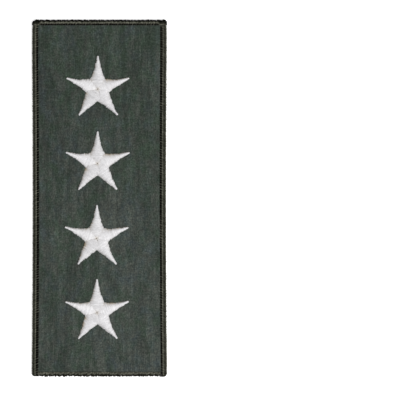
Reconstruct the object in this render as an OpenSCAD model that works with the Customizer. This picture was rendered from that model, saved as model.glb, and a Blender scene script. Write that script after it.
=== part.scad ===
// Embroidered rank patch: a flat oblong of ribbed cloth with a column of padded, satin-stitched
// stars on its face and an overlocked thread edge on all four sides.
// The patch lies face up. X is its width, Y its length with the top end at +Y, and the flat back
// is at Z = 0 with the origin at its middle. All sizes are in millimetres.

/* [Cloth] */
// Length of the patch over its thread edges
patch_length = 135; // [125:1:145]
// Width of the patch over its thread edges at mid length, where it is narrowest
patch_waist = 50.2; // [46:0.1:54]
// How much further each side stands out at the ends than at mid length
side_bow = 0.4; // [0:0.05:0.8]
// Thickness of the cloth
cloth_thickness = 1.1; // [1:0.05:1.3]
// How far the thread edge pinches up the back of the cloth along its rim
rim_lift = 0.45; // [0.4:0.05:0.5]

/* [Thread edge] */
// Width of the thread edge on the two long sides
side_edge_width = 2.35; // [2.1:0.05:2.6]
// Width of the thread edge across the top end
top_edge_width = 2.1; // [1.9:0.05:2.4]
// Width of the thread edge across the bottom end
bottom_edge_width = 1.8; // [1.6:0.05:2.1]
// Height of the thread edge over the back of the patch
edge_height = 1.8; // [1.7:0.05:2]
// Depth of thread outside the rim of the cloth
outer_thread = 0.85; // [0.75:0.05:0.95]
// How far the rounded ends of the top edge stand out past the long sides
top_overhang = 0.05; // [0:0.01:0.2]
// How much the top ends of the long edges are drawn in, under the top edge
neck_tuck = 0.2; // [0:0.05:0.3]
// How far the long edges run past the bottom edge at their lower ends
foot_overrun = 0.1; // [0:0.05:0.2]

/* [Stars] */
// Radius of a star from its centre to the tip of an arm
star_reach = 12.55; // [11.5:0.05:13]
// Radius of a star from its centre to the notch between two arms
star_notch = 4.65; // [4:0.05:5.2]
// Width of an arm at its rounded tip
star_tip_width = 0.9; // [0.7:0.05:1.2]
// How hollow the flanks of an arm are, where 1 is straight
flank_hollow = 1.6; // [1:0.1:2]
// Height of the padded ridge of an arm over the cloth
star_height = 1; // [0.8:0.05:1.2]
// Height of a star along its outline and along the seams between its arms
star_rim_height = 0.4; // [0.3:0.05:0.5]
// Spacing of the stars along the patch
star_pitch = 28.25; // [27:0.05:29]
// Distance of the top star's centre from the middle of the patch
first_star_along = 41.3; // [40:0.1:42]

/* [Hidden] */

cloth_colour = [0.25, 0.27, 0.25];
thread_colour = [0.19, 0.19, 0.16];
star_colour = [0.88, 0.88, 0.86];

// Clearance between the cloth and the thread that wraps it, and between two thread edges
thread_gap = 0.1;
// Clearance between the cloth and a star
star_gap = 0.05;

half_length = patch_length / 2;
half_waist = patch_waist / 2;

// Steps along a bowed side
side_steps = 20;
// Steps round the outer half of a thread edge, and from its crest down to the cloth
edge_round_steps = 8;
edge_slope_steps = 4;
// Angles round a thread edge's rounded end at which its section is drawn
round_angles = [12, 30, 50, 70];
// Where the crest of a thread edge lies, as a share of its width
crest_share = 0.42;
// Height of a thread edge's inner lip over the cloth
lip_height = 0.35;
// Length over which a long edge's top end is drawn in
neck_run = 1.2;

// Sideways place of each star and its turn, from the top star down
ACROSS = 0;
TURN = 1;
star_places = [
    [-0.57, -0.4],
    [-0.72, 0],
    [-1.03, 0.3],
    [-0.86, 0.6]
];
arm_count = 5;
arm_pitch = 360 / arm_count;
flank_steps = 5;
tip_steps = 4;
// Shares of the full outline at which the rings of a star's surface lie
star_rings = [0.14, 0.28, 0.42, 0.56, 0.7, 0.8, 0.88, 0.95, 1];
// Height at a star's centre dimple, as a share of the ridge, and the radius where the ridge is full
dimple_share = 0.6;
ridge_start = 4.2;
// How much lower the ridge is at the tip of an arm
tip_drop = 0.25;

// Distance of a long side from the centre line at a place along the patch
function half_width(along) = half_waist + side_bow * pow(along / half_length, 2);

function steps(from, to, count) = [for (i = [0:count]) from + (to - from) * i / count];

// Outline of the cloth, set in from the outside of the thread edges by one distance at the sides,
// one at the top and one at the bottom
module cloth_outline(in_sides, in_top, in_bottom) {
    rows = steps(-half_length + in_bottom, half_length - in_top, side_steps);
    right = [for (y = rows) [half_width(y) - in_sides, y]];
    left = [for (i = [side_steps:-1:0]) [-right[i].x, right[i].y]];
    polygon(concat(right, left));
}

// The cloth is at its full thickness in the middle. Along its rim the thread lifts its back.
module base_cloth() {
    rim = outer_thread + thread_gap;
    color(cloth_colour) {
        translate([0, 0, rim_lift])
            linear_extrude(cloth_thickness - rim_lift)
                cloth_outline(rim, rim, rim + foot_overrun);
        linear_extrude((rim_lift + cloth_thickness) / 2)
            cloth_outline(side_edge_width + thread_gap, top_edge_width + thread_gap,
                bottom_edge_width + foot_overrun + thread_gap);
    }
}

// The room inside the thread edges that the rim of the cloth fills
module cloth_slot() {
    translate([0, 0, rim_lift - thread_gap])
        linear_extrude(cloth_thickness - rim_lift + 2 * thread_gap)
            cloth_outline(outer_thread, outer_thread, outer_thread + foot_overrun);
}

// Section of a thread edge as [distance in from its outer side, height]: half an ellipse round
// the outside, a quarter of one from the crest down to the inner lip, and a flat inside
function edge_section(width) =
    let (crest = width * crest_share, mid = edge_height / 2, lip = cloth_thickness + lip_height)
    concat(
        [for (a = steps(-90, 90, edge_round_steps)) [crest - crest * cos(a), mid + mid * sin(a)]],
        [for (i = [1:edge_slope_steps]) let (a = 90 * i / edge_slope_steps)
            [crest + (width - crest) * sin(a), lip + (edge_height - lip) * cos(a)]],
        [[width, 0]]
    );

// Places along a run as [place, size of the section there], with a round end of a given radius
// at its start and at its finish, or a flat end where the radius is 0
function run_stations(start, finish, round_start, round_finish) = concat(
    round_start > 0 ? [for (a = round_angles) [start + round_start * (1 - cos(a)), sin(a)]] : [],
    [for (y = steps(start + round_start, finish - round_finish, side_steps)) [y, 1]],
    round_finish > 0 ? [for (i = [len(round_angles) - 1:-1:0]) let (a = round_angles[i])
        [finish - round_finish * (1 - cos(a)), sin(a)]] : []
);

// A thread edge along +Y with its outer side towards +X. The outer side is at 0 plus a bow, and
// the finish of the run is drawn in by a tuck. The section shrinks about its middle at round ends.
module thread_run(width, start, finish, round_start, round_finish, bow, tuck) {
    section = edge_section(width);
    count = len(section);
    stations = run_stations(start, finish, round_start, round_finish);
    last = len(stations) - 1;
    points = [
        for (s = stations)
            let (near = max(0, 1 - (finish - s[0]) / neck_run))
            let (outside = bow * pow(s[0] / half_length, 2) - tuck * near * near)
                for (p = section)
                    [outside - width / 2 - (p[0] - width / 2) * s[1], s[0], p[1] * s[1]]
    ];
    walls = [
        for (i = [0:last - 1])
            for (j = [0:count - 1])
                let (k = (j + 1) % count)
                [i * count + j, i * count + k, (i + 1) * count + k, (i + 1) * count + j]
    ];
    ends = [
        [for (j = [count - 1:-1:0]) j],
        [for (j = [0:count - 1]) last * count + j]
    ];
    polyhedron(points = points, faces = concat(walls, ends), convexity = 4);
}

// One long edge, on the right: square under the top edge, rounded where it ends at the bottom
module long_edge() {
    difference() {
        translate([half_waist, 0, 0])
            thread_run(side_edge_width, -half_length, half_length - top_edge_width - thread_gap,
                outer_thread, 0, side_bow, neck_tuck);
        cloth_slot();
    }
}

module edge_right() {
    color(thread_colour)
        long_edge();
}

module edge_left() {
    color(thread_colour)
        mirror([1, 0, 0])
            long_edge();
}

// The top edge runs over the full width, past the long edges, with rounded ends
module edge_top() {
    reach = half_width(half_length) + top_overhang;
    color(thread_colour)
        difference() {
            translate([0, half_length, 0])
                rotate([0, 0, 90])
                    thread_run(top_edge_width, -reach, reach, outer_thread, outer_thread, 0, 0);
            cloth_slot();
        }
}

// The bottom edge lies between the long edges
module edge_bottom() {
    inner_side = half_length - foot_overrun - bottom_edge_width;
    reach = half_width(inner_side) - side_edge_width - thread_gap;
    color(thread_colour)
        difference() {
            translate([0, foot_overrun - half_length, 0])
                rotate([0, 0, -90])
                    thread_run(bottom_edge_width, -reach, reach, 0, 0, 0, 0);
            cloth_slot();
        }
}

// Half the width of an arm at a distance out along it: seams up to the notch, then a flank
tip_round = star_tip_width / 2;
notch_out = star_notch * cos(arm_pitch / 2);
notch_half = star_notch * sin(arm_pitch / 2);
flank_end = star_reach - tip_round;
function flank_half(out) =
    tip_round + (notch_half - tip_round)
        * pow(max(0, flank_end - out) / (flank_end - notch_out), flank_hollow);
function arm_half(out) = out < notch_out ? out * tan(arm_pitch / 2) : flank_half(out);

// Outline of one arm along +X, from the notch on its right to just short of the one on its left
arm_outline = concat(
    [for (x = steps(notch_out, flank_end, flank_steps)) [x, -flank_half(x)]],
    [for (i = [1:tip_steps - 1]) let (a = 180 * i / tip_steps - 90)
        [flank_end + tip_round * cos(a), tip_round * sin(a)]],
    [for (i = [flank_steps:-1:1]) let (x = notch_out + (flank_end - notch_out) * i / flank_steps)
        [x, flank_half(x)]]
);

// Height of the ridge over the cloth at a distance out along an arm
function ridge_height(out) =
    let (rise = dimple_share + (1 - dimple_share) * sin(90 * min(1, out / ridge_start)))
    let (fall = 1 - tip_drop * pow(max(0, out - ridge_start) / (star_reach - ridge_start), 2))
    star_height * rise * fall;

// Height over the cloth at a point of an arm: a rounded ridge that falls to the rim height
function arm_height(p) =
    let (across = min(1, abs(p.y) / max(arm_half(p.x), tip_round)))
    let (past_tip = p.x > flank_end ? pow((p.x - flank_end) / tip_round, 2) : 0)
    star_rim_height
        + (ridge_height(p.x) - star_rim_height) * sqrt(max(0, 1 - across * across - past_tip));

function turned(p, angle) = [p.x * cos(angle) - p.y * sin(angle), p.x * sin(angle) + p.y * cos(angle)];

// A star about the origin with one arm along +Y, on Z = 0: rings of one outline at growing size,
// each point at the height of the arm that it is on, closed by a centre point and a flat base
module padded_star() {
    per_arm = len(arm_outline);
    count = per_arm * arm_count;
    ring_count = len(star_rings);
    top_points = [
        for (share = star_rings)
            for (arm = [0:arm_count - 1])
                for (p = arm_outline)
                    let (q = turned(p * share, 90 + arm * arm_pitch))
                    [q.x, q.y, share == 1 ? star_rim_height : arm_height(p * share)]
    ];
    base_points = [
        for (arm = [0:arm_count - 1])
            for (p = arm_outline)
                let (q = turned(p, 90 + arm * arm_pitch))
                [q.x, q.y, 0]
    ];
    centre = [[0, 0, ridge_height(0)]];
    points = concat(top_points, base_points, centre);
    centre_index = len(points) - 1;
    fan = [for (j = [0:count - 1]) [centre_index, (j + 1) % count, j]];
    walls = [
        for (i = [0:ring_count - 1])
            for (j = [0:count - 1])
                let (k = (j + 1) % count)
                [i * count + j, i * count + k, (i + 1) * count + k, (i + 1) * count + j]
    ];
    base = [[for (j = [0:count - 1]) ring_count * count + j]];
    polyhedron(points = points, faces = concat(fan, walls, base), convexity = 6);
}

// One star of the column, counted from 0 at the top
module star(index) {
    place = star_places[index];
    color(star_colour)
        translate([place[ACROSS], first_star_along - index * star_pitch, cloth_thickness + star_gap])
            rotate([0, 0, place[TURN]])
                padded_star();
}

base_cloth();
edge_top();
edge_bottom();
edge_left();
edge_right();
star(0);  // star_1
star(1);  // star_2
star(2);  // star_3
star(3);  // star_4
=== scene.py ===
"""An embroidered rank patch lying face up: ribbed cloth, an overlocked thread edge and four stars.

X is the width, Y the length with the top end at +Y, and Z is up, all in metres. The back of the
patch is at Z = 0, and the origin is at its middle."""

import math

import bpy
import numpy as np
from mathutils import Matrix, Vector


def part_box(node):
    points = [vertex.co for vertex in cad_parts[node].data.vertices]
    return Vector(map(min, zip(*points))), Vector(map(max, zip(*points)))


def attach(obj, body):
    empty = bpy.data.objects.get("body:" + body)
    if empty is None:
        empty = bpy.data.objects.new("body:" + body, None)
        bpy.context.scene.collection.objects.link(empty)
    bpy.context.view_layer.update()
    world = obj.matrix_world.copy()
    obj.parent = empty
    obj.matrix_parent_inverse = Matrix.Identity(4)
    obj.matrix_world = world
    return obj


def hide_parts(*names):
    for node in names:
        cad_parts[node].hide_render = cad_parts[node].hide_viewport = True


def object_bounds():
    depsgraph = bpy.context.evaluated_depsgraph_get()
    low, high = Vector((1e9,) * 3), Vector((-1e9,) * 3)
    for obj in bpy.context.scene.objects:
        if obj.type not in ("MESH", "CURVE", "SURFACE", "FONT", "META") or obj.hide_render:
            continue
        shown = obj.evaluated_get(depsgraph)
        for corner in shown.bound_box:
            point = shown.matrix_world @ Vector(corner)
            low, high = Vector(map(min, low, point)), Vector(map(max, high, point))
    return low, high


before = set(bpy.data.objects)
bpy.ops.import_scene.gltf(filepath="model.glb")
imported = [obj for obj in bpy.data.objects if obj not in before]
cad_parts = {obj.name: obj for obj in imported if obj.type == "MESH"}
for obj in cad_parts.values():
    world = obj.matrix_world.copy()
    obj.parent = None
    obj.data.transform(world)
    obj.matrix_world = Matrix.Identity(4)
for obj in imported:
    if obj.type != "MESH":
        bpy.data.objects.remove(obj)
cad_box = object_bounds()


# Cloth
# One oblong of dark grey-green worsted, finely ribbed down its length and fused to a stiffener, so
# it is a single thick sheet. The thread edges pinch up the back of its rim, and the stitches of the
# stars pull its face down round them.
mm = 0.001
half_length = cad_box[1].y
half_waist = 25.1 * mm
side_bow = 0.4 * mm
cloth_low, cloth_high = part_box("base_cloth")
cloth_face = cloth_high.z
rim_inset = half_length - cloth_high.y
# The back of the rim is lifted to this height, and comes down between these distances from the rim
rim_back = 0.47 * mm
rim_slope = (0.57 * mm, 1.52 * mm)
rib_count = 61
columns_in_rib = 4
rib_height = 0.05 * mm
cloth_rows = 266
back_columns = 25
# How much the ribs' height varies, and how long that wave is across and along
rib_unevenness = 0.35
rib_waves = (1.6 * mm, 18 * mm)
# The cloth's ripples, each as its height and the length of its waves across and along
cloth_ripples = [(0.012 * mm, 3.5 * mm, 40 * mm), (0.02 * mm, 9 * mm, 30 * mm)]
# How far over the solid's face the cloth may rise
highest_ripple = 0.05 * mm
# How deep the stars' stitches pull the face down, and the distance in which that fades
pull_depth = 0.12 * mm
pull_reach = 0.45 * mm
# A mesh is smooth but for folds sharper than this
sharp_fold = math.radians(60)

# The stars' arms from the top one round to the left: each one's direction and reach, how hollow its
# left and right flanks are, how much they swell, and how far out the notch on its left is
arm_turns = np.radians([89.6, 160.4, 233.8, 306.9, 379.0])
arm_reaches = np.array([12.55, 12.73, 12.27, 12.37, 12.7]) * mm
flank_hollows = [(1.5, 1.5), (1.65, 1.8), (1.15, 1.2), (1.5, 1.2), (1.7, 1.3)]
flank_swells = np.array([0.07, 0.05, 0, 0.05, 0.07]) * mm
notch_reaches = np.array([4.9, 4.68, 4.5, 4.5, 4.76]) * mm
arm_count = len(arm_turns)
# The radius of an arm's tip, and the mean slope of its flanks
tip_radius = 0.42 * mm
flank_slope = math.radians(20)
# Each star from the top one down, as its place across, its place along, its turn and how much
# longer each of its arms is than those above
star_places = [
    (-0.58 * mm, 41.21 * mm, math.radians(0.35), np.array([0.1, -0.1, 0, 0, -0.05]) * mm),
    (-0.73 * mm, 13.04 * mm, 0.0, np.array([-0.3, 0, 0.05, -0.05, 0.2]) * mm),
    (-1.0 * mm, -15.23 * mm, math.radians(0.05), np.array([0.1, 0.1, -0.05, 0.05, 0]) * mm),
    (-0.87 * mm, -43.37 * mm, math.radians(0.7), np.array([0.2, 0, -0.05, 0.1, 0.05]) * mm),
]


def half_width(along):
    """Distance of a long side from the centre line: the waist's, plus the bow times the square of
    the share of the half length."""
    return half_waist + side_bow * (along / half_length) ** 2


def ramp(value, start, finish):
    """The share of the way from a start to a finish, held at 0 before it and at 1 after it."""
    return np.clip((value - start) / (finish - start), 0, 1)


def eased(share):
    """A share that starts and ends slowly: three of its squares less two of its cubes."""
    return share**2 * (3 - 2 * share)


def flank(out, arm, side, flank_end):
    """Distance from the middle of a star's arm to one flank, at a distance out from the centre: the
    tip's radius, plus the rest of the notch's distance times a power of the share of the flank that
    is left, plus a swell that is a sine of that share. Side 0 is the left one. Also gives the slope
    of the seam that runs to the notch, and how far out the notch is."""
    beyond = arm if side == 0 else (arm - 1) % arm_count
    turn = (arm_turns[(beyond + 1) % arm_count] - arm_turns[beyond]) % (2 * math.pi) / 2
    notch_out = notch_reaches[beyond] * math.cos(turn)
    notch_half = notch_reaches[beyond] * math.sin(turn)
    left = np.clip((flank_end - out) / (flank_end - notch_out), 0, None)
    half = tip_radius + (notch_half - tip_radius) * left ** flank_hollows[arm][side]
    half = half + flank_swells[arm] * np.sin(2 * math.pi * np.clip(left, 0, 1))
    return half, math.tan(turn), notch_out


def past_outline(x, y, place):
    """Distance outwards from a star's outline, below 0 inside it: the least over the arms of the
    distance across less the arm's half width, times the cosine of the flank's mean slope, or past
    the flank's end of the distance from the middle of the tip less the tip's radius."""
    across, along, turn, longer = place
    nearest = np.full(np.broadcast(x, y).shape, np.inf)
    for arm, direction in enumerate(arm_turns + turn):
        out = (x - across) * math.cos(direction) + (y - along) * math.sin(direction)
        side = (y - along) * math.cos(direction) - (x - across) * math.sin(direction)
        flank_end = arm_reaches[arm] + longer[arm] - tip_radius
        half = np.where(side > 0, flank(out, arm, 0, flank_end)[0], flank(out, arm, 1, flank_end)[0])
        past_flank = (np.abs(side) - half) * math.cos(flank_slope)
        past_tip = np.hypot(out - flank_end, side) - tip_radius
        past_arm = np.where(out < flank_end, past_flank, past_tip)
        nearest = np.minimum(nearest, np.where(out > 0, past_arm, np.inf))
    return nearest


def ripple(x, y, wave_across, wave_along, rng, waves=14):
    """A smooth random surface with a spread of about 1: a sum of sine waves whose lengths across
    and along are 0.6 to 1.8 times the two given ones, each with a random phase."""
    total = np.zeros(np.broadcast(x, y).shape)
    for _ in range(waves):
        stretch_across, stretch_along = rng.uniform(0.6, 1.8, 2)
        lean = rng.choice([-1, 1])
        phase = rng.uniform(0, 2 * math.pi)
        turns = x / (wave_across * stretch_across) + lean * y / (wave_along * stretch_along)
        total += np.sin(2 * math.pi * turns + phase)
    return total * math.sqrt(2 / waves)


def add_piece(name, skins, material):
    """A mesh object at the origin made of closed skins. A skin is its rings of points, an array of
    (stations, points in a ring, 3), and a dict of values at those points. Quads join each ring to
    the next, and one face fills the first ring and one the last."""
    corners, sizes, first = [], [], 0
    for rings, _ in skins:
        stations, around = rings.shape[:2]
        index = first + np.arange(stations * around).reshape(stations, around)
        beside = np.roll(index, -1, axis=1)
        quads = np.stack([index[:-1], beside[:-1], beside[1:], index[1:]], axis=-1)
        corners += [quads.ravel(), index[0, ::-1], index[-1]]
        sizes += [np.full((stations - 1) * around, 4), [around, around]]
        first += stations * around
    corners, sizes = np.concatenate(corners), np.concatenate(sizes)
    points = np.concatenate([rings.reshape(-1, 3) for rings, _ in skins])
    mesh = bpy.data.meshes.new(name)
    mesh.vertices.add(len(points))
    mesh.vertices.foreach_set("co", points.astype(np.float32).ravel())
    mesh.loops.add(len(corners))
    mesh.loops.foreach_set("vertex_index", corners.astype(np.int32))
    mesh.polygons.add(len(sizes))
    mesh.polygons.foreach_set("loop_start", (np.cumsum(sizes) - sizes).astype(np.int32))
    mesh.polygons.foreach_set("use_smooth", np.ones(len(sizes), bool))
    for field, sample in skins[0][1].items():
        vector = sample.ndim == 3
        values = np.concatenate([fields[field].reshape(-1) for _, fields in skins])
        stored = mesh.attributes.new(field, "FLOAT_VECTOR" if vector else "FLOAT", "POINT")
        stored.data.foreach_set("vector" if vector else "value", values.astype(np.float32))
    mesh.update(calc_edges=True)
    mesh.set_sharp_from_angle(angle=sharp_fold)
    mesh.materials.append(material)
    piece = bpy.data.objects.new(name, mesh)
    bpy.context.scene.collection.objects.link(piece)
    return piece


def linear(red, green, blue):
    """A colour of 0 to 255 as a screen shows it, as linear red, green, blue and alpha: the usual
    power of 2.4, and a straight line for the darkest."""
    seen = np.array([red, green, blue]) / 255
    light = np.where(seen <= 0.04045, seen / 12.92, ((seen + 0.055) / 1.055) ** 2.4)
    return (*light.tolist(), 1.0)


def add_node(tree, kind, inputs=None, **settings):
    """A node with its settings, and its inputs by name or number: an output is linked to its input,
    and a value is set on it."""
    node = tree.nodes.new(kind)
    for setting, value in settings.items():
        setattr(node, setting, value)
    for socket, value in (inputs or {}).items():
        if isinstance(value, bpy.types.NodeSocket):
            tree.links.new(value, node.inputs[socket])
        else:
            node.inputs[socket].default_value = value
    return node


def calc(tree, operation, *values, clamp=False):
    """The result of one sum on numbers or outputs."""
    inputs = dict(enumerate(values))
    return add_node(tree, "ShaderNodeMath", inputs, operation=operation, use_clamp=clamp).outputs[0]


def summed(tree, first, *others):
    """The sum of several outputs or numbers."""
    for other in others:
        first = calc(tree, "ADD", first, other)
    return first


def weighted(tree, first, *terms):
    """A number plus several outputs, each times its weight."""
    return summed(tree, first, *[calc(tree, "MULTIPLY", value, weight) for value, weight in terms])


def blended(tree, factor, one, other):
    """The colour between two colours or outputs, by a factor."""
    mix = add_node(tree, "ShaderNodeMix", {0: factor, 6: one, 7: other}, data_type="RGBA")
    return mix.outputs[2]


def new_material(name):
    """A material, its node tree and its Principled shader."""
    material = bpy.data.materials.new(name)
    material.use_nodes = True
    tree = material.node_tree
    return material, tree, tree.nodes["Principled BSDF"]


def fibre_streaks_group():
    """Shader group of noise drawn out along Y, as drawn-out fibres are: the place is divided by the
    width of a streak across Y and its length along Y, and the noise is put out about 0."""
    tree = bpy.data.node_groups.new("fibre streaks", "ShaderNodeTree")
    for name, kind, default in (
        ("Place", "NodeSocketVector", None),
        ("Width", "NodeSocketFloat", 0.5 * mm),
        ("Length", "NodeSocketFloat", 5 * mm),
        ("Strength", "NodeSocketFloat", 1.0),
    ):
        socket = tree.interface.new_socket(name=name, in_out="INPUT", socket_type=kind)
        if default is not None:
            socket.default_value = default
    tree.interface.new_socket(name="Streak", in_out="OUTPUT", socket_type="NodeSocketFloat")
    given = add_node(tree, "NodeGroupInput").outputs
    size = add_node(tree, "ShaderNodeCombineXYZ",
                    {0: given["Width"], 1: given["Length"], 2: given["Width"]}).outputs[0]
    scaled = add_node(tree, "ShaderNodeVectorMath", {0: given["Place"], 1: size},
                      operation="DIVIDE").outputs[0]
    noise = add_node(tree, "ShaderNodeTexNoise",
                     {"Vector": scaled, "Scale": 1.0, "Detail": 2.0, "Roughness": 0.55}).outputs[0]
    centred = calc(tree, "MULTIPLY", calc(tree, "SUBTRACT", noise, 0.5), 2.0)
    streak = calc(tree, "MULTIPLY", centred, given["Strength"])
    add_node(tree, "NodeGroupOutput", {"Streak": streak})
    return tree


fibre_streaks = fibre_streaks_group()


def streaks(tree, place, kinds):
    """The outputs of a fibre streaks group for each of several kinds of streak, a kind being its
    width, length and strength."""
    return [
        add_node(tree, "ShaderNodeGroup",
                 {"Place": place, "Width": width, "Length": length, "Strength": strength},
                 node_tree=fibre_streaks).outputs["Streak"]
        for width, length, strength in kinds
    ]


def finish_surface(tree, shader, colour, shade, relief, depth, rough, specular):
    """Wires a colour times a shade, and a bump at half strength from a relief of a depth, into the
    shader, and sets its gloss."""
    lit = add_node(tree, "ShaderNodeVectorMath", {0: colour, "Scale": shade}, operation="SCALE")
    bump = add_node(tree, "ShaderNodeBump", {"Height": relief, "Strength": 0.5, "Distance": depth})
    tree.links.new(lit.outputs[0], shader.inputs["Base Color"])
    tree.links.new(bump.outputs[0], shader.inputs["Normal"])
    shader.inputs["Roughness"].default_value = rough
    shader.inputs["Specular IOR Level"].default_value = specular


green_wool = linear(55, 69, 57)
blue_wool = linear(60, 69, 69)
grey_wool = linear(63, 67.5, 62)
# The plain weave's pitch and depth
weave_pitch = 0.36 * mm
weave_depth = 0.02 * mm
# Kinds of streak in the wool: long yarns, short yarns, grain, threads along and threads across
yarn_kinds = [
    (3.6 * mm, 18 * mm, 0.63),
    (1.2 * mm, 6 * mm, 0.56),
    (0.4 * mm, 0.6 * mm, 1.18),
    (0.25 * mm, 3 * mm, 0.25),
    (2.5 * mm, 0.35 * mm, 0.45),
]
blue_kinds = [(3.4 * mm, 5 * mm, 1.45), (10 * mm, 26 * mm, 1.0)]
grey_kinds = [(2.4 * mm, 3.2 * mm, 1.6)]
fuzz_kinds = [(0.12 * mm, 0.5 * mm, 2.0)]
# Where the lighter strip by the left edge begins, as a share of the half width
strip_start = 0.74


def worsted():
    """Dark grey-green wool cloth: straight streaks of lighter and darker yarn down the length, fine
    grain along and across, and a drift from green to blue-grey and to grey. It is painted a little
    lighter towards its lower end and its right side, as light from the lamp there, and it is lighter
    by its left edge, darker and greener towards both ends, and greener towards the top. A plain
    weave, the product of two sines, is its bump."""
    material, tree, shader = new_material("dark_green_worsted")
    place = add_node(tree, "ShaderNodeTexCoord").outputs["Object"]
    split = add_node(tree, "ShaderNodeSeparateXYZ", {0: place}).outputs
    upwards = calc(tree, "MULTIPLY", split[1], 1 / half_length)
    near_ends = calc(tree, "MULTIPLY", upwards, upwards)
    leftwards = calc(tree, "MULTIPLY", split[0], -1 / half_waist)
    in_strip = calc(tree, "MAXIMUM", calc(tree, "SUBTRACT", leftwards, strip_start), 0.0)
    # Painted light: the terms for the lower end and the right side paint the lamp's falloff into the
    # shade
    painted_light_and_tone = weighted(tree, -0.04, (upwards, -0.075), (near_ends, -0.045), (leftwards, -0.06),
                     (in_strip, 0.35))
    yarns = summed(tree, painted_light_and_tone, *streaks(tree, place, yarn_kinds))
    shade = calc(tree, "POWER", math.e, yarns)
    blue = summed(tree, weighted(tree, 0.4, (upwards, -0.16), (yarns, 0.4)),
                  *streaks(tree, place, blue_kinds))
    grey = summed(tree, weighted(tree, 0.5, (upwards, -0.07), (near_ends, -0.12), (yarns, 0.7)),
                  *streaks(tree, place, grey_kinds))
    blue = calc(tree, "MAXIMUM", blue, 0.0, clamp=True)
    grey = calc(tree, "MAXIMUM", grey, 0.0, clamp=True)
    colour = blended(tree, grey, blended(tree, blue, green_wool, blue_wool), grey_wool)
    turn = 2 * math.pi / weave_pitch
    weave = calc(tree, "MULTIPLY", calc(tree, "SINE", calc(tree, "MULTIPLY", split[0], turn)),
                 calc(tree, "SINE", calc(tree, "MULTIPLY", split[1], turn)))
    relief = summed(tree, weave, *streaks(tree, place, fuzz_kinds))
    finish_surface(tree, shader, colour, shade, relief, depth=weave_depth, rough=0.85,
                   specular=0.25)
    shader.inputs["Sheen Weight"].default_value = 0.12
    shader.inputs["Sheen Roughness"].default_value = 0.5
    return material


def cloth_skin(rng):
    """The cloth as rings in the XZ plane carried along Y. Over the face from left to right: the
    face's height, less the ribs' cosine, plus slow ripples, less the pull of the stars, which fades
    exponentially from their outlines. Back along the underside: flat, and lifted along the rim."""
    y = np.linspace(cloth_low.y, cloth_high.y, cloth_rows)[:, None]
    side = half_width(y) - rim_inset
    share = np.linspace(-1, 1, rib_count * columns_in_rib + 1)
    x = side * share
    rib = np.cos(math.pi * share * rib_count)
    uneven = 1 + rib_unevenness * ripple(x, y, *rib_waves, rng)
    face = cloth_face - rib_height * uneven * (1 - rib) / 2
    for height, wave_across, wave_along in cloth_ripples:
        face += height * ripple(x, y, wave_across, wave_along, rng)
    pulled = np.zeros_like(x)
    for place in star_places:
        distance = np.clip(past_outline(x, y, place), 0, None)
        pulled = np.maximum(pulled, np.exp(-distance / pull_reach))
    face = np.minimum(face - pull_depth * pulled, cloth_face + highest_ripple)
    back_x = side * np.sin(np.linspace(math.pi / 2, -math.pi / 2, back_columns))
    from_rim = np.minimum(side - np.abs(back_x), np.minimum(y - cloth_low.y, cloth_high.y - y))
    lift = 1 - ramp(from_rim, *rim_slope)
    back = cloth_low.z + (rim_back - cloth_low.z) * eased(lift)
    ring_x = np.concatenate([x, back_x], axis=1)
    ring_z = np.concatenate([face, back], axis=1)
    return np.stack([ring_x, np.broadcast_to(y, ring_x.shape), ring_z], axis=-1), {}


cloth = add_piece("cloth", [cloth_skin(np.random.default_rng(11))], worsted())
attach(cloth, "root")
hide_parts("base_cloth")


# Thread edge
# Four runs of overlocking in near-black thread, sewn over the rim of the cloth: the long sides
# first, then the bottom between them and the top across their ends. Each thread wraps from a line
# of needle stitches on the face, over a rounded crest, to the back. The crest's beige is a painted
# highlight with some wear, and the grooves, needle holes and outer band are painted dark as shade.
# The section's height, the thread outside the cloth's rim, and the gap between two runs
edge_height = 1.8 * mm
outer_thread = 0.85 * mm
thread_gap = 0.1 * mm
# The lip on the cloth, how far the needle line rises from there, its height as a share of its half
# width, and the power that rounds the slope up to the crest
lip = cloth_face + 0.06 * mm
foot_rise = 0.12 * mm
bead_share = 0.6
slope_power = 0.75
# The heights of the slot that holds the cloth, the share of its depth where there is no cloth, and
# how far in its mouth is
slot_low = 0.37 * mm
slot_high = cloth_face + 0.07 * mm
slot_closed = 0.02
mouth_inset = 0.02 * mm
# The points of a section on the needle line, up the slope, round the crest and in the slot
needle_points = 6
slope_points = 7
crest_points = 15
slot_points = 6
wrapped_points = needle_points + slope_points + crest_points
section_point = np.arange(wrapped_points + slot_points)
at_needle = section_point <= needle_points
wrapped = section_point < wrapped_points
in_slot = (section_point >= section_point[-1] - 2) & (section_point < section_point[-1])
outermost_point = needle_points + slope_points + crest_points // 2
station_step = 0.1 * mm
# A distance that is further than any end of the patch
far_away = 1
# How far from a rounded end it reaches its full height, the places on that curve of the stations
# nearest to the end, and the radius of the inner corners there
end_height = 0.85 * mm
end_angles = np.radians([8, 14, 20, 27])
inner_corner = 0.5 * mm
# Where the top edge is sewn across the long ones, they are drawn in by a neck and by slack
neck_run = 2 * mm
neck_tuck = 0.16 * mm
slack_run = 10 * mm
slack_tuck = 0.12 * mm
# How far the long edges stand out and run past the bottom end, how far the top edge reaches past
# the sides, and how far the bottom edge is set down and kept from the long ones
left_out = 0.12 * mm
right_out = 0.18 * mm
left_foot = 0.08 * mm
right_foot = 0.28 * mm
top_overhang = 0.12 * mm
bottom_drop = 0.03 * mm
side_clearance = 0.02 * mm
# How far along the run a thread leans for each distance round the section
thread_lean = 0.28
# Threads stand out less between these shares of the way in to the crest, down to the least share
loose_slope = (1.5, 0.5)
least_loose = 0.4
# How deep the needle's holes are as a share of the height over the lip, and where between a
# thread's middle and the groove beside it they begin and are at their deepest
hole_depth = 0.8
hole_slope = (0.1, 0.3)
# The length of the waves of the needle line's slow change
drift_wave = 20 * mm
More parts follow.
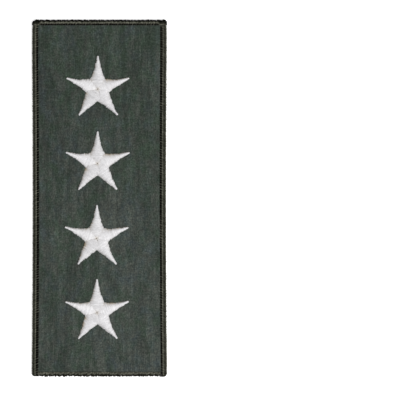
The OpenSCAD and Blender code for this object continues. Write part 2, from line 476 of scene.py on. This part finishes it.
# The least and most of what is drawn for each stitch or thread
stitch_tones = (0.7, 1.1)
thread_tones = (0.8, 1.2)
thread_swings = (-0.8, 0.2)
needle_shows = (0.4, 1.1)
# The spread of the painted light along the outer rim, where the lamp and the table light the
# outermost thread
painted_rim_light_spread = 0.35 * mm
# How dark the painted shade in the grooves between stitches and between threads is, and how much
# more in the dark band
stitch_groove_shades = (0.1, 0.4)
thread_groove_shades = (0.2, 0.25)
# Near a rounded end: how much of the painted highlight ridge and of the painted dark band is lost,
# how far in the band moves and widens in millimetres, and between which distances the end's face is
# painted dark as shade
end_ridge_loss = 0.25
end_band_loss = 0.2
end_band_shift = 0.3
end_band_widening = 0.25
end_face_slope = (0.52 * mm, 0.12 * mm)
# Each run's values, with lengths in millimetres:
# width and crest are its own width and how far in its crest is
# rim is how much painted light lies on its outer rim
# light, ridge, spread_out and spread_in are its painted highlight ridge's tone, middle and two
# spreads
# fade and slide are how far from a rounded end the ridge fades, and how far it slides in there
# breaks and swing are how much of the ridge is lost between threads, and how far it swings in
# needle, needle_half and widening are the needle line's middle, half width and widening upwards
# needle_shade, needle_light and needle_drift are that line's painted shade in the holes, its light
# and its slow change
# stitch, uneven and loose are the mean stitch, its unevenness and how far threads stand out
# stitch_groove and thread_groove are how deep the grooves between stitches and threads are
# dark, dark_spread and dark_shade are the middle, spread and strength of the outer band's painted
# shade
# corners are the radii of its outer corners at the start and at the finish
left_run = dict(
    width=2.35, crest=1.05, rim=0.8, light=0.6, ridge=1.33, spread_out=0.3, spread_in=0.36,
    fade=0, slide=0, breaks=0.6, swing=0.1, needle=2.0, needle_half=0.42, widening=-0.2,
    needle_shade=1.0, needle_light=0.63, needle_drift=0.08, stitch=1.88, uneven=0.16, loose=0.05,
    stitch_groove=0.03, thread_groove=0.2, dark=0.75, dark_spread=0.3, dark_shade=0.29,
    corners=(1.2, 0),
)
right_run = dict(
    left_run, rim=1.0, light=0.97, ridge=1.42, spread_out=0.38, spread_in=0.31, needle=2.04,
    needle_half=0.36, widening=0.2, needle_light=0.58, dark=0.64, dark_spread=0.34,
    dark_shade=0.42, corners=(1.6, 0),
)
top_run = dict(
    width=2.1, crest=0.9, rim=0, light=0.98, ridge=1.14, spread_out=0.3, spread_in=0.32,
    fade=3.6, slide=0.8, breaks=0.45, swing=0.4, needle=1.8, needle_half=0.3, widening=0,
    needle_shade=1.0, needle_light=0.6, needle_drift=0, stitch=1.6, uneven=0.45, loose=0.06,
    stitch_groove=0.24, thread_groove=0.18, dark=0.28, dark_spread=0.55, dark_shade=1.0,
    corners=(0.9, 1.8),
)
bottom_run = dict(
    width=1.8, crest=0.85, rim=0.8, light=0.9, ridge=1.06, spread_out=0.24, spread_in=0.56,
    fade=0, slide=0, breaks=0.4, swing=0.5, needle=1.72, needle_half=0.06, widening=0,
    needle_shade=0.06, needle_light=0, needle_drift=0, stitch=1.6, uneven=0.5, loose=0.1,
    stitch_groove=0.42, thread_groove=0.26, dark=0.34, dark_spread=0.42, dark_shade=0.85,
    corners=(0, 0),
)


def bell(distance, spread):
    """A bell curve of a spread: e to the power of less the square of the distance over it."""
    return np.exp(-((distance / spread) ** 2))


def in_threads(place, pitch, uneven, rng):
    """For places along a row of threads of a mean pitch: the share of the way from the middle of
    the thread there to the groove beside it, and that thread's number. Each thread's width is
    drawn at random, and the widths are summed up to the places of the grooves. More threads are
    drawn than fit, and they begin before the first place."""
    count = int(1.2 * np.ptp(place) / pitch) + 12
    widths = pitch * rng.uniform(1 - uneven, 1 + uneven, count)
    grooves = place.min() - 3 * pitch + np.cumsum(widths)
    number = np.clip(np.searchsorted(grooves, place), 1, count - 1)
    share = (place - grooves[number - 1]) / (grooves[number] - grooves[number - 1])
    return np.abs(2 * share - 1), number


def drawn(low, high, number, rng):
    """A value for each place drawn evenly between two, the same along one thread."""
    return rng.uniform(low, high, number.max() + 1)[number]


def rounding(radius, from_end):
    """How far in a corner of a radius draws a side at a distance from the end: the radius less the
    height of its quarter circle there."""
    return radius - np.sqrt(radius**2 - np.clip(radius - from_end, 0, None) ** 2)


def edge_section(run, y):
    """A run's section at each station, as distances in from its outer side and as heights. It goes
    up over the needle line's half round, up a quarter ellipse to the crest, round a half ellipse to
    the back, flat to the inner side, and into the slot that holds the cloth."""
    width, crest = run["width"] * mm, run["crest"] * mm
    bead = np.linspace(0, math.pi, needle_points + 1)[:-1]
    slope = np.linspace(0, math.pi / 2, slope_points + 1)[:-1]
    outside = np.linspace(math.pi / 2, -math.pi / 2, crest_points)
    half = run["needle_half"] * mm * (1 + run["widening"] * y / half_length)
    foot = run["needle"] * mm - half
    climb = edge_height - lip - foot_rise
    parts_in = [
        run["needle"] * mm + half * np.cos(bead),
        foot - (foot - crest) * np.sin(slope),
        crest - crest * np.cos(outside),
        [(crest + width) / 2, width, width, outer_thread, outer_thread, width - mouth_inset],
    ]
    parts_up = [
        lip + foot_rise * bead / math.pi + bead_share * half * np.sin(bead),
        lip + foot_rise + climb * (1 - np.cos(slope)) ** slope_power,
        edge_height / 2 * (1 + np.sin(outside)),
        [0, 0, slot_low, slot_low, slot_high, slot_high],
    ]
    return [
        np.hstack([np.broadcast_to(part, (len(y), np.shape(part)[-1])) for part in parts])
        for parts in (parts_in, parts_up)
    ]


def edge_shades(run, y, from_end, section, stitches, threads, rng):
    """How light a run's painted highlight ridge is and how dark the painted shade in its hollows is.
    The ridge is a bell curve about a middle that swings from stitch to stitch, plus one of painted
    light at the outer rim, times a tone drawn for each stitch and thread, less what is lost between
    threads and near a rounded end. The hollows are painted shade: a bell curve about the dark band,
    the end's face, plus powers of the way to the grooves. The needle line has its own painted light
    and shade, by how much thread shows there, which changes slowly along the run."""
    section_in, section_up = section
    by_stitch, stitch_number = stitches
    by_thread, thread_number = threads
    near_end = ramp(from_end, run["fade"] * mm, (run["fade"] - 1) * mm)
    swing = run["swing"] * (by_stitch**2 + drawn(*thread_swings, thread_number, rng))
    from_ridge = section_in - (run["ridge"] + run["slide"] * near_end + swing) * mm
    spread = np.where(from_ridge > 0, run["spread_in"], run["spread_out"]) * mm
    tone = drawn(*stitch_tones, stitch_number, rng) * drawn(*thread_tones, thread_number, rng)
    tone = tone * (1 - run["breaks"] * by_thread**2) * (1 - end_ridge_loss * near_end)
    tone = tone * ramp(from_end, 0, mm)
    # Painted highlight on the crest, with some wear, and painted light along the outer rim
    ridge = run["light"] * bell(from_ridge, spread) + run["rim"] * bell(section_in, painted_rim_light_spread)
    ridge = ridge * tone * wrapped * (section_up > edge_height / 2)

    from_band = section_in / mm - run["dark"] - end_band_shift * near_end
    band = bell(from_band, run["dark_spread"] + end_band_widening * near_end)
    band = band * (1 - end_band_loss * near_end)
    stitch_shade = stitch_groove_shades[0] + stitch_groove_shades[1] * band
    thread_shade = thread_groove_shades[0] + thread_groove_shades[1] * band
    # Painted shade: the outer band, the end's face and the grooves between stitches and threads are
    # painted dark
    hollow = np.maximum(run["dark_shade"] * band, ramp(from_end, *end_face_slope))
    hollow = hollow + stitch_shade * by_stitch**4 + thread_shade * by_thread**3
    hollow = np.clip(hollow, 0, 1)

    shows = drawn(*needle_shows, thread_number, rng) * (1 - ramp(by_thread, *hole_slope))
    shows = shows + run["needle_drift"] * ripple(0, y, mm, drift_wave, rng)
    # Painted shade in the needle holes, and the thread's light where it shows between them
    needled = at_needle * (1 - near_end)
    ridge = ridge + (run["needle_light"] * shows - ridge) * needled
    hollow = hollow + (run["needle_shade"] * np.clip(1 - shows, 0, 1) - hollow) * needled
    return ridge, hollow


def edge_skin(run, start, finish, round_start, round_finish, slot_reach, bow, tucked, rng):
    """One run along +Y with its outer side towards +X, at 0 plus a bow less a tuck at the finish.
    Threads stand out square to its section by a random height, less powers of the way to the
    grooves, and the needle line has a hole beside each. A round end draws the outer side in along
    a quarter circle, and lowers the section along another."""
    width, crest = run["width"] * mm, run["crest"] * mm
    # The even stations next to the ends give way to those on the curve
    close_to_end = end_height * (1 - np.cos(end_angles))
    y = np.arange(start, finish, station_step)[2:-1]
    y = np.concatenate([start + close_to_end, y, finish - close_to_end[::-1]])[:, None]
    from_start = np.where(round_start, y - start, far_away)
    from_end = np.minimum(from_start, np.where(round_finish, finish - y, far_away))
    section_in, section_up = edge_section(run, y)
    step_in, step_up = np.gradient(section_in, axis=1), np.gradient(section_up, axis=1)
    step = np.hypot(step_in, step_up)
    arc = np.cumsum(step, axis=1)

    leaning = y + thread_lean * np.minimum(arc, arc[:, [outermost_point]])
    stitches = in_threads(leaning, run["stitch"] * mm, run["uneven"], rng)
    threads = in_threads(leaning, run["stitch"] * mm / 2, run["uneven"], rng)
    by_thread, thread_number = threads
    grooves = run["stitch_groove"] * mm * stitches[0] ** 4 + run["thread_groove"] * mm * by_thread**3
    proud = grooves.mean() - grooves + drawn(-1, 1, thread_number, rng) * run["loose"] * mm
    proud = proud * np.maximum(ramp(section_in / crest, *loose_slope), least_loose)
    proud = proud * (wrapped & ~at_needle)

    corner = np.where(y < (start + finish) / 2, *run["corners"]) * mm
    cut, inner = rounding(corner, from_end), rounding(inner_corner, from_end)
    wrapped_in = cut + (section_in + step_up / step * proud) * (1 - (cut + inner) / width)
    slot_open = np.where((y > slot_reach[0]) & (y < slot_reach[1]), 1, slot_closed)
    depth_in = np.where(in_slot, width - (width - section_in) * slot_open, wrapped_in)
    hole = ramp(by_thread, *hole_slope) * at_needle
    height = section_up - step_in / step * proud - hole_depth * hole * (section_up - lip)
    height = height * np.sqrt(1 - ramp(from_end, end_height, 0) ** 2)
    neck = neck_tuck * ramp(finish - y, neck_run, 0) ** 2
    slack = slack_tuck * ramp(finish - y, slack_run, 0)
    x = bow * (y / half_length) ** 2 - tucked * (neck + slack) - depth_in
    rings = np.stack([x, np.broadcast_to(y, x.shape), np.clip(height, 0, None)], axis=-1)

    section = section_in, section_up
    ridge, hollow = edge_shades(run, y, from_end, section, stitches, threads, rng)
    strand = np.stack([leaning, arc, thread_number * mm], axis=-1)
    return rings, {"ridge": ridge, "hollow": hollow, "strand": strand}


def turned(skin, degrees, across, along):
    """A skin turned about Z by quarters and then moved."""
    rings, fields = skin
    c, s = round(math.cos(math.radians(degrees))), round(math.sin(math.radians(degrees)))
    x, y, z = rings[..., 0], rings[..., 1], rings[..., 2]
    return np.stack([c * x - s * y + across, s * x + c * y + along, z], axis=-1), fields


def mirrored(skin):
    """A skin mirrored from right to left, with its rings turned round so that it faces outwards."""
    rings, fields = skin
    rings = (rings * [-1, 1, 1])[:, ::-1]
    return rings, {name: values[:, ::-1] for name, values in fields.items()}


def long_edge_skin(run, outwards, foot, seed):
    """The right long edge: rounded where its foot runs past the bottom edge, square under the top
    edge."""
    finish = half_length - top_run["width"] * mm - thread_gap
    slot_from = cloth_low.y - thread_gap
    skin = edge_skin(run, -half_length - foot, finish, True, False, (slot_from, far_away),
                     side_bow, True, np.random.default_rng(seed))
    return turned(skin, 0, half_waist + outwards, 0)


def attribute(tree, name, output="Fac"):
    """An output of the node that reads one of the mesh's own values."""
    node = add_node(tree, "ShaderNodeAttribute", attribute_name=name)
    return node.outputs[output]


thread_side = linear(53, 54, 45)
crest_highlight_and_wear = linear(127, 127, 114)
painted_shade_black = linear(3, 3, 2)
edge_filaments = [(0.07 * mm, 1.2 * mm, 0.5)]
edge_mottle = [(4 * mm, 3 * mm, 0.25), (0.4 * mm, 0.5 * mm, 0.9)]
darkest_thread = 0.2


def edge_thread():
    """Near-black polyester thread: olive grey where it shows its side, beige-grey on its crest as a
    painted highlight with some wear, and black as painted shade in the grooves, the outer band, the
    needle holes and at the ends, with fine filaments along it."""
    material, tree, shader = new_material("black_olive_thread")
    strand = attribute(tree, "strand", "Vector")
    ridge = calc(tree, "MINIMUM", attribute(tree, "ridge"), 1.0)
    colour = blended(tree, ridge, thread_side, crest_highlight_and_wear)
    colour = blended(tree, attribute(tree, "hollow"), colour, painted_shade_black)
    filaments, = streaks(tree, strand, edge_filaments)
    shade = summed(tree, 1.0, filaments, *streaks(tree, strand, edge_mottle))
    shade = calc(tree, "MAXIMUM", shade, darkest_thread)
    finish_surface(tree, shader, colour, shade, filaments, depth=0.03 * mm, rough=0.7,
                   specular=0.03)
    return material


thread = edge_thread()
end_width = half_width(half_length)
top_reach = end_width + top_overhang
slot_half = end_width - outer_thread
bottom_reach = end_width - left_run["width"] * mm - side_clearance
top_skin = edge_skin(top_run, -top_reach, top_reach, True, True, (-slot_half, slot_half), 0, False,
                     np.random.default_rng(23))
bottom_skin = edge_skin(bottom_run, -bottom_reach - left_out, bottom_reach + right_out, False,
                        False, (-far_away, far_away), 0, False, np.random.default_rng(24))
for name, skin in (
    ("edge_right", long_edge_skin(right_run, right_out, right_foot, 21)),
    ("edge_left", mirrored(long_edge_skin(left_run, left_out, left_foot, 22))),
    ("edge_top", turned(top_skin, 90, 0, half_length)),
    ("edge_bottom", turned(bottom_skin, -90, 0, -bottom_drop - half_length)),
):
    edge = add_piece(name + "_thread", [skin], thread)
    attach(edge, "root")
    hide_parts(name)


# Stars
# Four five-pointed stars in white satin stitch over padding, a column down the middle. Each arm is
# a row of threads laid side by side across it, from one flank to the other, and the rows of two
# arms meet in a seam from the star's centre to the notch. A thread ends round at each tip.
star_base = cloth_face - pull_depth + 0.01 * mm
star_height = 1.03 * mm
# The share of the ridge's height at the centre, how far out it is full, the share that is lost at
# the tip, and the power that rounds it
centre_share = 0.75
ridge_start = 3.6 * mm
tip_drop = 0.25
roundness = 0.6
# Where an arm's rings begin, how many there are to a thread, the points across one, and the angles
# of the rings round the tip
arm_start = 0.16 * mm
samples_in_thread = 6
across_points = 19
tip_angles = np.radians([0, 18, 36, 54, 70, 82])
# The threads' pitch and unevenness, those of the bunches that they lie in, how far either juts out
# at a flank, and how much less a flank reaches in the grooves
thread_pitch = 0.42 * mm
thread_unevenness = 0.25
thread_jut = 0.1 * mm
bunch_pitch = 1.3 * mm
bunch_unevenness = 0.4
bunch_jut = 0.13 * mm
groove_dip = 0.05 * mm
# Where the arm is narrow its threads jut out less, down to this share
least_jut = 0.4
# How deep the grooves between threads are
thread_sunk = 0.055 * mm
# The way that the flanks face which are turned from the lamp and get the most painted shade, and how
# much further those flanks reach
shaded_flank_turn = math.radians(130)
shaded_flank_jut = 0.06 * mm
# How far two arms overlap at a seam, how high the seam is as a share of the ridge, how much the
# power that rounds the ridge grows there, and between which shares of the way to the notch it ends
seam_overlap = 0.12 * mm
seam_share = 0.84
seam_sharpness = 0.6
seam_end = (0.7, 1.1)
# How far the seam on each arm's left side strays into the next arm, because one laps over the other
seam_strays = np.array([0.3, -0.4, 0.85, 0.3, 0]) * mm
# How much painted shade darkens each of these seams; one below 0 is painted lighter
painted_seam_shades = [0.15, 0.05, -0.06, 0.1, 0.02]
# How much painted shade darkens the threads where they turn down at a flank
painted_rim_shade = 0.1
# Painted sheen and shade: how bright each arm's left flank, ridge and right flank is painted, by the
# way its threads lie to the lamp
painted_arm_shine = [(0.98, 0.94, 0.96), (0.97, 1.085, 0.955), (0.92, 0.89, 0.98), (0.98, 1.01, 0.87),
             (0.91, 1.0, 0.94)]
# How bright each arm's threads are painted near the centre, as sheen and shade where they dip
# towards the pit, and between which shares of the way to the notch that gives way to the painted
# shine above
painted_centre_shine = [0.935, 1.065, 0.92, 0.965, 1.065]
centre_slope = (0.3, 0.9)
# The least and most of what is drawn for each thread and for each bunch
thread_shine = (0.93, 1.05)
bunch_shine = (0.98, 1.02)
# The pit at the centre, painted beige as the cloth that shows there and as shade in the dimple, and
# round it the share of its colour that shows between thin threads
pit_radius = 0.58 * mm
thin_share = 0.12
thin_radius = 1.7 * mm
# How much padding colour and painted shade show low on a flank: by thread, least on a flank towards
# the lamp and by a seam, and so much more on one turned from it, and the powers of the share across
# on a flank towards the lamp and on one turned from it
padding_shows = (0.1, 1.2)
padding_least = 0.15
padding_on_shaded_flank = 1.05
lit_flank_power = 4
shaded_flank_power = 2.5


def ridge_height(out, reach):
    """Height of the ridge over the cloth at a distance out along an arm: a quarter sine wave up
    from the centre's dimple, and then a fall with the square of the way to the tip."""
    rise = centre_share + (1 - centre_share) * np.sin(math.pi / 2 * ramp(out, 0, ridge_start))
    return star_height * rise * (1 - tip_drop * ramp(out, ridge_start, reach) ** 2)


def painted_arm_gloss(arm, out, notch_out, share, past_seam):
    """How much an arm's threads shine, painted as sheen and shade: the centre's shine, and further
    out a parabola through those of the left flank, the ridge and the right flank, less a painted
    shade at the rims and at the seams that grows with a high power of the share across."""
    left, ridge, right = painted_arm_shine[arm]
    shine = ridge + (left - right) / 2 * share + ((left + right) / 2 - ridge) * share**2
    from_centre = ramp(out / notch_out, *centre_slope)
    shine = painted_centre_shine[arm] + (shine - painted_centre_shine[arm]) * from_centre
    seam_shade = np.where(share > 0, painted_seam_shades[arm], painted_seam_shades[arm - 1])
    return shine - painted_rim_shade * share**6 * past_seam - seam_shade * share**8 * (1 - past_seam)


def arm_skin(place, arm, number_from, rng):
    """One arm of a star as rings across it, carried out along it. A ring goes over the threads from
    its left flank to its right one: the ridge's height times a power of one less the square of the
    share across, less the grooves between threads, and by the seams down to a share of the ridge
    only. It closes along the base. The half width follows the seams, which bulge to one side as
    half a sine wave, as far as the notch, the flanks with the threads' own jut from there, and a
    quarter circle round the tip. The padding shows with a power of the share across, together with
    painted shade that is most on the flanks turned from the lamp; the pit is the sum of two bell
    curves, and the shine is painted sheen and shade."""
    across, along, turn, longer = place
    direction = arm_turns[arm] + turn
    reach = arm_reaches[arm] + longer[arm]
    flank_end = reach - tip_radius
    out = np.arange(arm_start, flank_end, thread_pitch / samples_in_thread)
    out = np.concatenate([out, flank_end + tip_radius * np.sin(tip_angles)])[:, None]
    at_tip = np.sqrt(1 - ramp(out, flank_end, reach) ** 2)
    from_middle, number = in_threads(out, thread_pitch, thread_unevenness, rng)
    bunch = in_threads(out, bunch_pitch, bunch_unevenness, rng)[1]
    share = np.sin(np.linspace(math.pi / 2, -math.pi / 2, across_points))
    share = np.concatenate([[1], share, [-1]])
    on_left = share > 0

    left_half, left_slope, left_notch = flank(out, arm, 0, flank_end)
    right_half, right_slope, right_notch = flank(out, arm, 1, flank_end)
    notch_out = np.where(on_left, left_notch, right_notch)
    stray = np.where(on_left, seam_strays[arm], -seam_strays[arm - 1])
    lap = seam_overlap + stray * np.sin(math.pi * ramp(out, 0, notch_out))
    seam_half = out * np.where(on_left, left_slope, right_slope) + lap
    half = np.minimum(seam_half, np.where(on_left, left_half, right_half)) * at_tip
    shaded_flank = np.clip(np.cos(direction + np.sign(share) * math.pi / 2 - shaded_flank_turn), 0, 1)
    juts = [
        drawn(-thread_jut, thread_jut, number, rng) + drawn(-bunch_jut, bunch_jut, bunch, rng)
        for _ in ("left", "right")
    ]
    jut = np.where(on_left, *juts) + shaded_flank_jut * shaded_flank - groove_dip * from_middle**3
    half = half + at_tip * jut * ramp(out, 0, mm) * np.clip(half / mm, least_jut, 1)
    side = share * half

    past_seam = ramp(out / notch_out, *seam_end)
    lowest = seam_share * (1 - eased(past_seam))
    dome = np.clip(1 - share**2, 0, 1)
    rise = lowest + (1 - lowest) * dome ** (roundness + seam_sharpness * (1 - past_seam))
    sunk = thread_sunk * from_middle**3 * dome**0.3
    height = (ridge_height(out, reach) * rise - sunk) * np.sqrt(at_tip)
    height[:, [0, -1]] = 0
    z = star_base + np.clip(height, 0, None)
    c, s = math.cos(direction), math.sin(direction)
    rings = np.stack([across + out * c - side * s, along + out * s + side * c, z], axis=-1)

    # Painted shade with the padding's colour, strongest on the flanks turned from the lamp
    power = lit_flank_power + (shaded_flank_power - lit_flank_power) * shaded_flank
    padding = np.abs(share) ** power * drawn(*padding_shows, number, rng)
    padding = padding * (padding_least + padding_on_shaded_flank * shaded_flank)
    padding = padding * (padding_least + (1 - padding_least) * past_seam)
    pit = (1 - thin_share) * bell(out, pit_radius) + thin_share * bell(out, thin_radius)
    # Painted sheen and shade, times a random tone for each thread and bunch
    shine = painted_arm_gloss(arm, out, notch_out, share, past_seam)
    shine = shine * drawn(*thread_shine, number, rng) * drawn(*bunch_shine, bunch, rng)
    strand_place = np.broadcast_arrays(out, side, (number_from + number) * mm)
    return rings, {
        "strand": np.stack(strand_place, axis=-1),
        "groove": np.broadcast_to(from_middle**3, side.shape),
        "padding": padding,
        "pit": np.broadcast_to(pit, side.shape),
        "shine": shine,
    }


white_rayon = linear(233, 232, 234)
rayon_groove_shade = linear(197, 193, 191)
padding_and_shade_beige = linear(186, 170, 142)
pit_beige_and_shade = linear(205, 197, 187)
groove_shade_strength = 0.35
rayon_filaments = [(0.06 * mm, 1.6 * mm, 0.12)]
rayon_mottle = [(0.4 * mm, 0.9 * mm, 0.35), (1.1 * mm, 1.8 * mm, 0.07)]


def star_thread():
    """White rayon thread: fine filaments along it, painted shade between threads, and beige-grey in
    the dimple and low on the flanks, where the padding and the cloth show through and painted shade
    falls, most on the flanks turned from the lamp. Its shine is painted sheen and shade."""
    material, tree, shader = new_material("white_satin_thread")
    strand = attribute(tree, "strand", "Vector")
    # Painted shade: the grooves between threads are painted greyer
    groove = calc(tree, "MULTIPLY", attribute(tree, "groove"), groove_shade_strength)
    colour = blended(tree, groove, white_rayon, rayon_groove_shade)
    # Painted shade with the padding's colour low on the flanks
    colour = blended(tree, attribute(tree, "padding"), colour, padding_and_shade_beige)
    # The pit's beige is partly the cloth showing and partly painted shade in the dimple
    colour = blended(tree, attribute(tree, "pit"), colour, pit_beige_and_shade)
    filaments, = streaks(tree, strand, rayon_filaments)
    # The shine is painted sheen and shade, times the threads' own random tone
    shade = summed(tree, attribute(tree, "shine"), filaments, *streaks(tree, strand, rayon_mottle))
    finish_surface(tree, shader, colour, shade, filaments, depth=0.02 * mm, rough=0.55,
                   specular=0.35)
    return material


white_thread = star_thread()
for number, place in enumerate(star_places, 1):
    rng = np.random.default_rng(30 + number)
    arms = [arm_skin(place, arm, 500 * number + 100 * arm, rng) for arm in range(arm_count)]
    star = add_piece(f"star_{number}_stitching", arms, white_thread)
    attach(star, "root")
    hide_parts(f"star_{number}")


# Studio
# The patch lies on a plain white table, seen from straight above by a long lens and a little to the
# left in the frame. One large soft lamp stands to its lower right, and the rest of the light is
# even.
table_reach = 2
table_grey = 0.9
table_mottle = [(0.03, 0.03, 0.02)]
table_glow = 0.6
lamp_distance = 0.9
lamp_size = 0.5
lamp_watts = 6.25
lamp_turn = math.radians(-33)
lamp_height = math.radians(56)
even_strength = 0.36
picture_width = 151.4 * mm
picture_pixels = 400
patch_centre_pixel = (99.35, 198.05)
lens = 200
sensor = 36


def table_top():
    """White table top that glows a little, so that the patch's shadow on it stays pale."""
    material, tree, shader = new_material("white_table")
    place = add_node(tree, "ShaderNodeTexCoord").outputs["Object"]
    mottle = summed(tree, table_grey, *streaks(tree, place, table_mottle))
    grey = add_node(tree, "ShaderNodeCombineColor", {0: mottle, 1: mottle, 2: mottle}).outputs[0]
    tree.links.new(grey, shader.inputs["Base Color"])
    shader.inputs["Roughness"].default_value = 0.9
    shader.inputs["Emission Color"].default_value = (1, 1, 1, 1)
    shader.inputs["Emission Strength"].default_value = table_glow
    return material


corners = [(table_reach * x, table_reach * y, 0) for x, y in ((-1, -1), (1, -1), (1, 1), (-1, 1))]
table_mesh = bpy.data.meshes.new("table")
table_mesh.from_pydata(corners, [], [(0, 1, 2, 3)])
table_mesh.materials.append(table_top())
table = bpy.data.objects.new("table", table_mesh)
bpy.context.scene.collection.objects.link(table)

lamp_data = bpy.data.lights.new("soft_lamp", "AREA")
lamp_data.shape = "DISK"
lamp_data.size = lamp_size
lamp_data.energy = lamp_watts
lamp = bpy.data.objects.new("soft_lamp", lamp_data)
level = lamp_distance * math.cos(lamp_height)
lamp.location = (level * math.cos(lamp_turn), level * math.sin(lamp_turn),
                 lamp_distance * math.sin(lamp_height))
lamp.rotation_euler = (math.pi / 2 - lamp_height, 0, lamp_turn + math.pi / 2)
bpy.context.scene.collection.objects.link(lamp)

world = bpy.data.worlds.new("even_light")
world.use_nodes = True
world.node_tree.nodes["Background"].inputs["Color"].default_value = (1, 1, 1, 1)
world.node_tree.nodes["Background"].inputs["Strength"].default_value = even_strength
bpy.context.scene.world = world
bpy.context.scene.view_settings.view_transform = "Standard"

camera_data = bpy.data.cameras.new("camera")
camera_data.lens = lens
camera_data.sensor_width = sensor
camera = bpy.data.objects.new("camera", camera_data)
pixel = picture_width / picture_pixels
middle_pixel = picture_pixels / 2
camera.location = ((middle_pixel - patch_centre_pixel[0]) * pixel,
                   (patch_centre_pixel[1] - middle_pixel) * pixel,
                   cloth_face + picture_width * lens / sensor)
bpy.context.scene.collection.objects.link(camera)
bpy.context.scene.camera = camera
